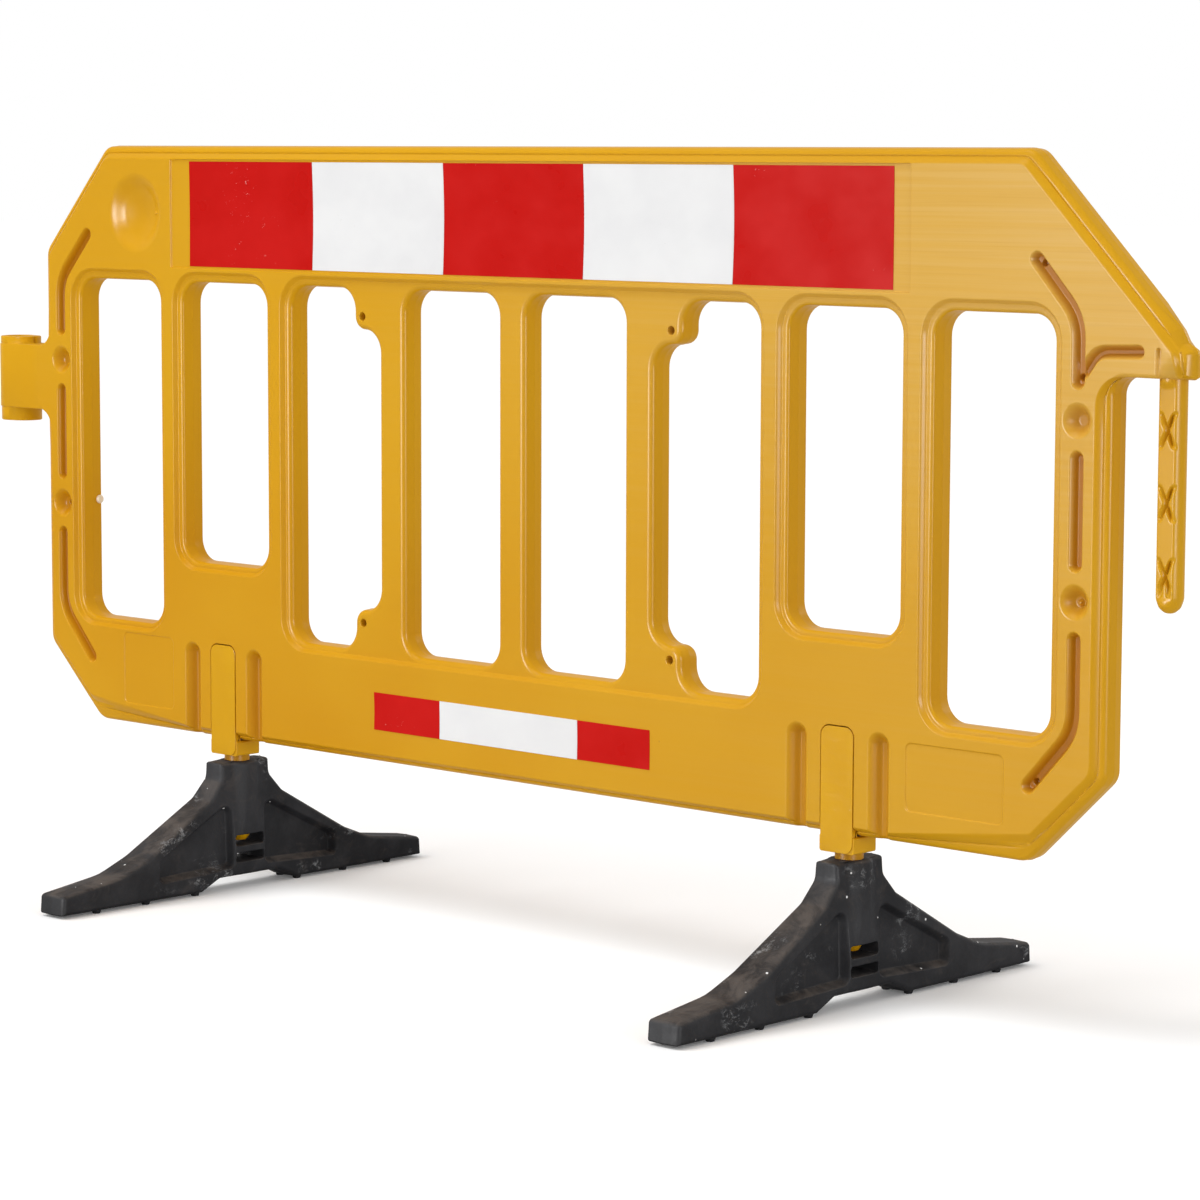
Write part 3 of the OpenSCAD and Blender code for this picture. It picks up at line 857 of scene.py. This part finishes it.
def leg_bracket(name, node):
    """The tab, block and round peg of one leg bracket."""
    x, y, z = (span(node, axis) for axis in range(3))
    origin = np.array([sum(x) / 2, 0, 0])
    front, back, end = -y[0], -y[1], z[0]
    outline = rectangle(-TAB_HALF, TAB_HALF, BLOCK_Z + 0.5, TAB_TOP, TAB_R).points()
    tab = slab(outline, front - TAB_THICK, front, origin, 6, 6)
    outline = rectangle(-BLOCK_HALF, BLOCK_HALF, BLOCK_Z, PANEL_BOTTOM - 0.5, 3).points()
    block = slab(outline, back, front - 1.2, origin, 2.2, 3)
    r, top = FOOT_PEG_R, BLOCK_Z + 2
    peg = revolve(eased_line([(0, end), (r - 5, end), (r, end + 8), (r, top), (0, top)], 1), origin, Z)
    return add_object(name, *merged(tab, block, peg))


# Half of the foot's width at the sole and at the neck, and half of what is left between its pockets
FOOT_W = 26
NECK_W = 17
POCKET_W = 13
NECK_Z = 174
SOLE_Z = 3
# The round boss around the peg
BOSS_R = 27
STUD_X = (-17, 17)
STUD_Y = (-262, -178, -92, 92, 178, 262)


def foot_outline():
    half = [
        (84, SOLE_Z, 2), (325, SOLE_Z, 3), (323, 30, 7), (226, 43, 90), (178, 62, 50),
        (66, 127, 18), (44, 152, 12), (44, NECK_Z, 4),
    ]
    mirrored = [(-y, z, r) for y, z, r in half[::-1]]
    arch = [(-52, 18, 4), (52, 18, 4)]
    corners = half + mirrored + arch
    return Outline([(y, z) for y, z, _ in corners], [r for _, _, r in corners])


FOOT = foot_outline()
FOOT_POCKETS = [
    Sunk(Outline(pts, radii), 1, 2.5, 6)
    for pts, radii in (
        ([(27, 31), (160, 26), (158, 57), (30, 122)], [10, 8, 12, 12]),
        ([(-160, 26), (-27, 31), (-30, 122), (-158, 57)], [8, 10, 12, 12]),
    )
]
FOOT_SLOTS = [rectangle(-24, 24, a, b, 3) for a, b in ((38, 49), (60, 73))]
FOOT_EDGE_R = 6
FOOT_SLOT_R = 1.5


def foot_thickness(p, _side):
    y, z = p[:, 0], p[:, 1]
    base = FOOT_W - (FOOT_W - NECK_W) * np.clip((z - 60) / (NECK_Z - 60), 0, 1)
    base = base - 1.2 * ease((np.abs(y) - 180) / 120)
    sunk = np.maximum(FOOT_POCKETS[0].sink(p), FOOT_POCKETS[1].sink(p))
    plate = base - (base - POCKET_W) * sunk
    boss = np.sqrt(np.clip(BOSS_R**2 - y**2, 0, None))
    top = (plate ** 8 + boss ** 8) ** (1 / 8)
    top = np.minimum(top, BOSS_R - 0.3)
    drop = edge_drop(FOOT.distance(p), top, FOOT_EDGE_R)
    for s in FOOT_SLOTS:
        drop = np.maximum(drop, edge_drop(-s.distance(p), top, FOOT_SLOT_R))
    return top - drop


def foot_rings():
    out = [FOOT.shifted(d).points() for d in round_offsets(FOOT_EDGE_R)[1:]]
    for s in FOOT_SLOTS:
        out += [s.shifted(-d).points() for d in round_offsets(FOOT_SLOT_R)[1::2]]
    for s in FOOT_POCKETS:
        out += s.rings()
    for a in np.linspace(-84, 84, 15):
        y = BOSS_R * math.sin(math.radians(a))
        out.append(np.array([(y, 19), (y, 96), (y, NECK_Z - 1)]))
    return out


def foot(name, leg_x):
    """One rubber foot with studs under its sole."""
    origin = np.array([leg_x, 0, 0])
    body = relief(FOOT, FOOT_SLOTS, foot_rings(), foot_thickness, origin, Y, Z)
    stud = eased_line([(0, 0), (5, 0), (6.5, SOLE_Z + 2), (0, SOLE_Z + 2)], 0.6)
    studs = [revolve(stud, origin + [x, y, 0], Z, 20) for x in STUD_X for y in STUD_Y]
    return add_object(name, *merged(body, *studs))


# How far each sheet's ends stand back from its block's, and how many pieces a bowed end is made of
SEAM = 0.25
BOW_STEPS = 12


def strip(name, node, bow):
    """One block of reflective sheet, whose ends bow along the strip."""
    (x0, x1), (y0, y1), (z0, z1) = (span(node, axis) for axis in range(3))
    t = np.linspace(0, 1, BOW_STEPS + 1)
    curve = np.sin(math.pi * t)
    right = np.stack([x1 + bow[1] * curve, z0 + (z1 - z0) * t], 1)
    left = np.stack([x0 + bow[0] * curve, z0 + (z1 - z0) * t], 1)
    outline = np.vstack([right, left[::-1]])
    outline[:, 0] += np.where(outline[:, 0] > (x0 + x1) / 2, -SEAM, SEAM)
    return add_object(name, *slab(outline, -y1, -y0, np.zeros(3), 0.15, 1))


def air_plug(name):
    """The small plug in the wall of the first window."""
    x, y, z = (span("air_plug", axis) for axis in range(3))
    r, head = (z[1] - z[0]) / 2, x[1]
    profile = [(0, head - 5), (r, head - 5), (r, head - 1.6), (r * 0.7, head - 0.2), (0, head)]
    centre = np.array([0, sum(y) / 2, sum(z) / 2])
    return add_object(name, *revolve(eased_line(profile, 1), centre, X, 32))


# ---------------------------------------------------------------- materials


class Shader:
    """A small helper for building one node material."""

    def __init__(self, name):
        self.material = bpy.data.materials.new(name)
        self.material.use_nodes = True
        self.tree = self.material.node_tree
        self.surface = self.tree.nodes["Principled BSDF"]
        self.place = self.node("ShaderNodeTexCoord").outputs["Object"]

    def node(self, kind, **settings):
        made = self.tree.nodes.new(kind)
        for key, value in settings.items():
            setattr(made, key, value)
        return made

    def link(self, source, target):
        self.tree.links.new(source, target)

    def feed(self, socket, value):
        """Sets a socket to a number or a colour, or links another node's output to it."""
        if isinstance(value, (int, float)):
            socket.default_value = value
        elif isinstance(value, tuple):
            socket.default_value = (*value, 1.0)
        else:
            self.link(value, socket)

    def mapped(self, scale):
        made = self.node("ShaderNodeMapping")
        made.inputs["Scale"].default_value = scale if isinstance(scale, tuple) else (scale,) * 3
        self.link(self.place, made.inputs["Vector"])
        return made.outputs["Vector"]

    def noise(self, scale, detail=3.0, rough=0.5, warp=0.0):
        """Noise with about `scale` features a metre, the same every way or one number an axis."""
        made = self.node("ShaderNodeTexNoise")
        made.inputs["Scale"].default_value = 1.0
        made.inputs["Detail"].default_value = detail
        made.inputs["Roughness"].default_value = rough
        made.inputs["Distortion"].default_value = warp
        self.link(self.mapped(scale), made.inputs["Vector"])
        return made.outputs["Fac"]

    def ramp(self, value, stops):
        made = self.node("ShaderNodeMapRange")
        made.interpolation_type = "SMOOTHSTEP"
        for key, stop in zip(("From Min", "From Max", "To Min", "To Max"), stops):
            made.inputs[key].default_value = stop
        self.link(value, made.inputs["Value"])
        return made.outputs["Result"]

    def math(self, kind, a, b):
        made = self.node("ShaderNodeMath", operation=kind)
        for socket, value in zip(made.inputs, (a, b)):
            self.feed(socket, value)
        return made.outputs[0]

    def mix(self, factor, a, b):
        made = self.node("ShaderNodeMix", data_type="RGBA")
        for socket, value in ((made.inputs[0], factor), (made.inputs[6], a), (made.inputs[7], b)):
            self.feed(socket, value)
        return made.outputs[2]

    def attribute(self, name):
        return self.node("ShaderNodeAttribute", attribute_name=name).outputs["Fac"]

    def cells(self, feature, scale):
        made = self.node("ShaderNodeTexVoronoi", feature=feature)
        made.inputs["Scale"].default_value = scale
        self.link(self.place, made.inputs["Vector"])
        return made.outputs

    def along(self, axis):
        made = self.node("ShaderNodeSeparateXYZ")
        self.link(self.place, made.inputs[0])
        return made.outputs[axis]

    def bump(self, height, distance, strength=1.0, under=None):
        made = self.node("ShaderNodeBump")
        made.inputs["Strength"].default_value = strength
        made.inputs["Distance"].default_value = distance
        self.link(height, made.inputs["Height"])
        if under is not None:
            self.link(under, made.inputs["Normal"])
        return made.outputs["Normal"]

    def cavity(self, distance):
        made = self.node("ShaderNodeAmbientOcclusion")
        made.samples = 6
        made.inputs["Distance"].default_value = distance
        return made.outputs["AO"]

    def set(self, **links):
        for key, value in links.items():
            self.feed(self.surface.inputs[key.replace("_", " ")], value)
        return self.material


def panel_plastic():
    """Satin moulded plastic: cloudy tone, with painted shade deeper in the grooves and painted light at the
    upper loop end, and a painted sheen on its faces, streaked horizontally, that grows towards the hook and
    the top."""
    s = Shader("panel_plastic")
    streak = s.noise((1.6, 1.6, 150), 4, 0.62)
    fine = s.noise((5, 5, 520), 3, 0.6)
    cloud = s.noise(3.2, 2, 0.5)
    face = s.attribute("face")
    # Painted sheen: a mask on the flat face that grows towards the hook and the top
    painted_sheen = s.math("MULTIPLY", s.ramp(s.along("X"), (-0.5, 1.0, 0.06, 1)),
                   s.ramp(s.along("Z"), (0.42, 0.95, 0.15, 1)))
    painted_sheen = s.math("MULTIPLY", painted_sheen, face)
    tone = s.mix(s.ramp(cloud, (0.35, 0.7, 0, 1)), (0.60, 0.272, 0.003), (0.64, 0.318, 0.008))
    tone = s.mix(s.ramp(s.along("X"), (-0.9, 0.7, 0, 0.6)), tone, (0.64, 0.340, 0.012))
    # Painted light: the upper loop end is lightened as if lit from the upper left
    painted_light_upper = s.math("MULTIPLY", s.ramp(s.along("Z"), (0.35, 0.75, 0, 0.6)),
                   s.ramp(s.along("X"), (-0.3, 0.6, 1, 0)))
    tone = s.mix(painted_light_upper, tone, (0.685, 0.358, 0.004))
    # The painted sheen: paler in horizontal streaks, with darker fine streaks within it
    pale = s.math("MULTIPLY", painted_sheen, s.ramp(streak, (0.35, 0.7, 0.58, 0.92)))
    tone = s.mix(pale, tone, (0.69, 0.42, 0.10))
    tone = s.mix(s.math("MULTIPLY", painted_sheen, s.ramp(fine, (0.5, 0.75, 0, 0.25))), tone, (0.54, 0.27, 0.03))
    # Painted shade: darker orange-brown deeper in the grooves and other deep cuts
    hollow = s.attribute("hollow")
    tone = s.mix(s.math("MULTIPLY", hollow, 0.75), tone, (0.40, 0.12, 0.001))
    speck = s.noise(90, 2, 0.5)
    tone = s.mix(s.ramp(speck, (0.77, 0.83, 0, 0.3)), tone, (0.26, 0.13, 0.04))
    rough = s.ramp(streak, (0.3, 0.75, 0.28, 0.32))
    wave = s.noise(7, 2, 0.5)
    grain = s.noise((420, 420, 900), 3, 0.6)
    normal = s.bump(grain, 0.00006, 0.6, s.bump(fine, 0.00003, 0.3, s.bump(wave, 0.0012, 0.3)))
    return s.set(Base_Color=tone, Roughness=rough, Normal=normal, Specular_IOR_Level=0.08)


def bracket_plastic():
    """Smooth semi-gloss plastic with light handling marks, and painted shade in its recesses."""
    s = Shader("bracket_plastic")
    cloud = s.noise((14, 14, 9), 3, 0.5)
    tone = s.mix(s.ramp(cloud, (0.35, 0.7, 0, 1)), (0.64, 0.325, 0.001), (0.69, 0.365, 0.002))
    # Painted shade: darker orange in recesses and between parts, found by ambient occlusion
    hollow = s.ramp(s.cavity(0.012), (0.3, 0.9, 1, 0))
    tone = s.mix(s.math("MULTIPLY", hollow, 0.6), tone, (0.50, 0.17, 0.004))
    scuff = s.noise((60, 60, 300), 4, 0.7, 0.6)
    tone = s.mix(s.ramp(scuff, (0.66, 0.76, 0, 0.25)), tone, (0.78, 0.55, 0.20))
    rough = s.ramp(scuff, (0.4, 0.8, 0.30, 0.48))
    normal = s.bump(s.noise(320, 2, 0.5), 0.00006, 0.6, s.bump(cloud, 0.0006, 0.3))
    return s.set(Base_Color=tone, Roughness=rough, Normal=normal, Specular_IOR_Level=0.12)


def foot_rubber():
    """Recycled rubber: cloudy black with brownish dust, pale scuffs, pits and white specks, and painted
    shade in its pockets.
    """
    s = Shader("foot_rubber")
    cloud = s.noise(11, 5, 0.62)
    tone = s.mix(s.ramp(cloud, (0.36, 0.68, 0, 1)), (0.008, 0.008, 0.010), (0.024, 0.024, 0.027))
    dust = s.noise(24, 5, 0.7, 0.8)
    facing = s.node("ShaderNodeSeparateXYZ")
    s.link(s.node("ShaderNodeNewGeometry").outputs["Normal"], facing.inputs[0])
    slope = s.ramp(facing.outputs[2], (0.25, 0.9, 0, 1))
    upward = s.math("MULTIPLY", slope, s.ramp(dust, (0.36, 0.66, 0.08, 0.8)))
    settled = s.math("MAXIMUM", s.ramp(dust, (0.52, 0.8, 0, 0.35)), upward)
    tone = s.mix(settled, tone, (0.095, 0.080, 0.070))
    scuff = s.noise((62, 62, 85), 8, 0.82, 0.4)
    where = s.noise(13, 2, 0.5)
    marks = s.math("MULTIPLY", s.ramp(scuff, (0.50, 0.66, 0, 1)), s.ramp(where, (0.52, 0.64, 0, 0.8)))
    tone = s.mix(marks, tone, (0.36, 0.37, 0.38))
    dots = s.cells("F1", 60)
    spots = s.ramp(dots["Distance"], (0.07, 0.11, 1, 0))
    pick = s.node("ShaderNodeSeparateColor")
    s.link(dots["Color"], pick.inputs[0])
    chosen = s.math("GREATER_THAN", pick.outputs[0], 0.72)
    tone = s.mix(s.math("MULTIPLY", spots, chosen), tone, (0.85, 0.85, 0.85))
    # Painted shade: near-black in the pockets and other recesses, found by ambient occlusion
    hollow = s.ramp(s.cavity(0.02), (0.25, 0.9, 0.7, 0))
    tone = s.mix(hollow, tone, (0.008, 0.008, 0.010))
    rough = s.ramp(dust, (0.3, 0.7, 0.52, 0.78))
    pits = s.noise(330, 4, 0.65)
    normal = s.bump(pits, 0.00035, 0.7, s.bump(dust, 0.0012, 0.45))
    return s.set(Base_Color=tone, Roughness=rough, Normal=normal, Specular_IOR_Level=0.16)


def reflective(name, main, cloudy, worn):
    """Smooth retroreflective sheet with faint blotches and wear that grows near the block's ends."""
    s = Shader(name)
    cloud = s.noise((9, 9, 12), 3, 0.55)
    tone = s.mix(s.ramp(cloud, (0.35, 0.7, 0, 1)), main, cloudy)
    chips = s.noise((150, 150, 210), 5, 0.75, 0.8)
    where = s.noise((7, 7, 16), 2, 0.5)
    marks = s.math("MULTIPLY", s.ramp(chips, (0.64, 0.70, 0, 1)), s.ramp(where, (0.58, 0.68, 0, 1)))
    tone = s.mix(s.math("MULTIPLY", marks, 0.8), tone, worn)
    rough = s.ramp(cloud, (0.3, 0.7, 0.26, 0.38))
    edge = s.ramp(s.cells("DISTANCE_TO_EDGE", 260)["Distance"], (0.0, 0.08, 1, 0))
    normal = s.bump(edge, 0.00003, 0.4, s.bump(cloud, 0.0002, 0.15))
    return s.set(Base_Color=tone, Roughness=rough, Normal=normal, Specular_IOR_Level=0.06)


def plug_plastic():
    """Pale natural polyethylene."""
    s = Shader("plug_plastic")
    cloud = s.noise(120, 3, 0.5)
    tone = s.mix(cloud, (0.80, 0.60, 0.36), (0.90, 0.76, 0.56))
    normal = s.bump(s.noise(500, 2, 0.5), 0.00008, 0.5)
    return s.set(Base_Color=tone, Roughness=s.ramp(cloud, (0.3, 0.7, 0.4, 0.55)), Normal=normal)


# ---------------------------------------------------------------- assembly


def finish_piece(obj, material, slot, body, *nodes):
    obj.data.materials.append(material)
    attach(obj, body)
    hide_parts(*nodes)


def build_object():
    yellow, bracket, rubber = panel_plastic(), bracket_plastic(), foot_rubber()
    red = reflective("red_reflective", (0.53, 0.003, 0.001), (0.57, 0.004, 0.002), (0.74, 0.46, 0.44))
    white = reflective("white_reflective", (0.77, 0.77, 0.775), (0.81, 0.81, 0.81), (0.55, 0.53, 0.50))
    finish_piece(panel(), yellow, "panel_plastic", "barrier", "panel")
    finish_piece(air_plug("window_air_plug"), plug_plastic(), "plug_plastic", "barrier", "air_plug")
    for side, leg_x in zip(("left", "right"), LEG_X):
        node = side + "_leg_bracket"
        finish_piece(leg_bracket(side + "_bracket", node), bracket, "bracket_plastic", "barrier", node)
        node = side + "_foot"
        finish_piece(foot(side + "_rubber_foot", leg_x), rubber, "foot_rubber", node, node)
    for face in ("front", "rear"):
        blocks = [("strip", i, 5) for i in range(5)] + [("sill_strip", i, 3) for i in range(3)]
        for kind, i, count in blocks:
            tint = "white" if i % 2 else "red"
            node = f"{face}_{kind}_{i + 1}_{tint}"
            most = 2.2 if kind == "strip" else 0.5
            bow = (0.8 if i == 0 else most, 0.3 if i == count - 1 else most)
            paint = white if i % 2 else red
            sheet = strip(f"{face}_{kind}_sheet_{i + 1}", node, bow)
            finish_piece(sheet, paint, tint + "_reflective", "barrier", node)


# ---------------------------------------------------------------- stage, light and camera

CAMERA_PLACE = Vector((3.4536, -3.5188, 0.9955))
CAMERA_YAW = 0.755331
CAMERA_PITCH = 0.113468
CAMERA_ROLL = -0.00289
LENS = 118.396


def add_camera():
    camera = in_scene("camera", bpy.data.cameras.new("camera"))
    camera.data.sensor_width = 36
    camera.data.lens = LENS
    camera.data.clip_end = 60
    turn = Matrix.Rotation(CAMERA_YAW, 4, "Z") @ Matrix.Rotation(math.pi / 2 - CAMERA_PITCH, 4, "X")
    turn = turn @ Matrix.Rotation(-CAMERA_ROLL, 4, "Z")
    camera.matrix_world = Matrix.Translation(CAMERA_PLACE) @ turn
    bpy.context.scene.camera = camera


def add_floor():
    mesh = bpy.data.meshes.new("floor")
    r = 40
    mesh.from_pydata([(-r, -r, 0), (r, -r, 0), (r, r, 0), (-r, r, 0)], [], [(0, 1, 2, 3)])
    floor = in_scene("floor", mesh)
    s = Shader("floor_paper")
    tone = s.mix(s.noise(2, 2, 0.5), (0.92, 0.92, 0.92), (0.94, 0.94, 0.94))
    seen = s.node("ShaderNodeLightPath").outputs["Is Camera Ray"]
    tone = s.mix(seen, (0.60, 0.60, 0.60), tone)
    s.set(Emission_Color=(1.0, 1.0, 1.0), Emission_Strength=0.08)
    mesh.materials.append(s.set(Base_Color=tone, Roughness=0.95, Specular_IOR_Level=0.05))


def add_lamp(kind, name, place, target, energy):
    data = bpy.data.lights.new(name, kind)
    data.energy = energy
    light = in_scene(name, data)
    light.location = place
    light.rotation_euler = (Vector(target) - Vector(place)).to_track_quat("-Z", "Y").to_euler()
    return light


def add_soft_box(name, place, target, size, energy, glint=False):
    """A rectangular soft box; a glint box only shows in the gloss."""
    box = add_lamp("AREA", name, place, target, energy)
    box.data.shape = "RECTANGLE"
    box.data.size, box.data.size_y = size
    box.visible_camera = False
    box.visible_diffuse = not glint


AMBIENT = 0.68


def add_light():
    """A pale room seen as white, a broad overhead light, three soft boxes and two glint boxes."""
    world = bpy.data.worlds.new("studio")
    world.use_nodes = True
    tree = world.node_tree
    seen = tree.nodes.new("ShaderNodeLightPath").outputs["Is Camera Ray"]
    level = tree.nodes.new("ShaderNodeMath")
    level.operation = "MULTIPLY_ADD"
    level.inputs[1].default_value = 1 - AMBIENT
    level.inputs[2].default_value = AMBIENT
    tree.links.new(seen, level.inputs[0])
    tree.links.new(level.outputs[0], tree.nodes["Background"].inputs["Strength"])
    tree.nodes["Background"].inputs["Color"].default_value = (1, 1, 1, 1)
    bpy.context.scene.world = world
    sun = add_lamp("SUN", "overhead", (-1.4, -1.8, 4.0), (0, 0, 0), 1.3)
    sun.data.angle = math.radians(35)
    add_soft_box("front_box", (-1.0, -3.8, 1.7), (0.2, 0, 0.7), (1.5, 1.8), 31)
    add_soft_box("right_box", (7.5, -2.0, 2.4), (0, 0, 0.6), (2.0, 3.0), 70)
    add_soft_box("rear_box", (1.6, 4.2, 1.9), (0, 0, 0.6), (1.6, 1.6), 26)
    add_soft_box("front_glint", (-0.6, -4.2, 1.0), (0.2, 0, 0.6), (0.5, 1.8), 580, True)
    add_soft_box("right_glint", (4.4, -1.1, 1.0), (0.2, 0, 0.6), (0.4, 1.8), 300, True)


build_object()
add_floor()
add_light()
add_camera()
bpy.context.scene.view_settings.view_transform = "Standard"
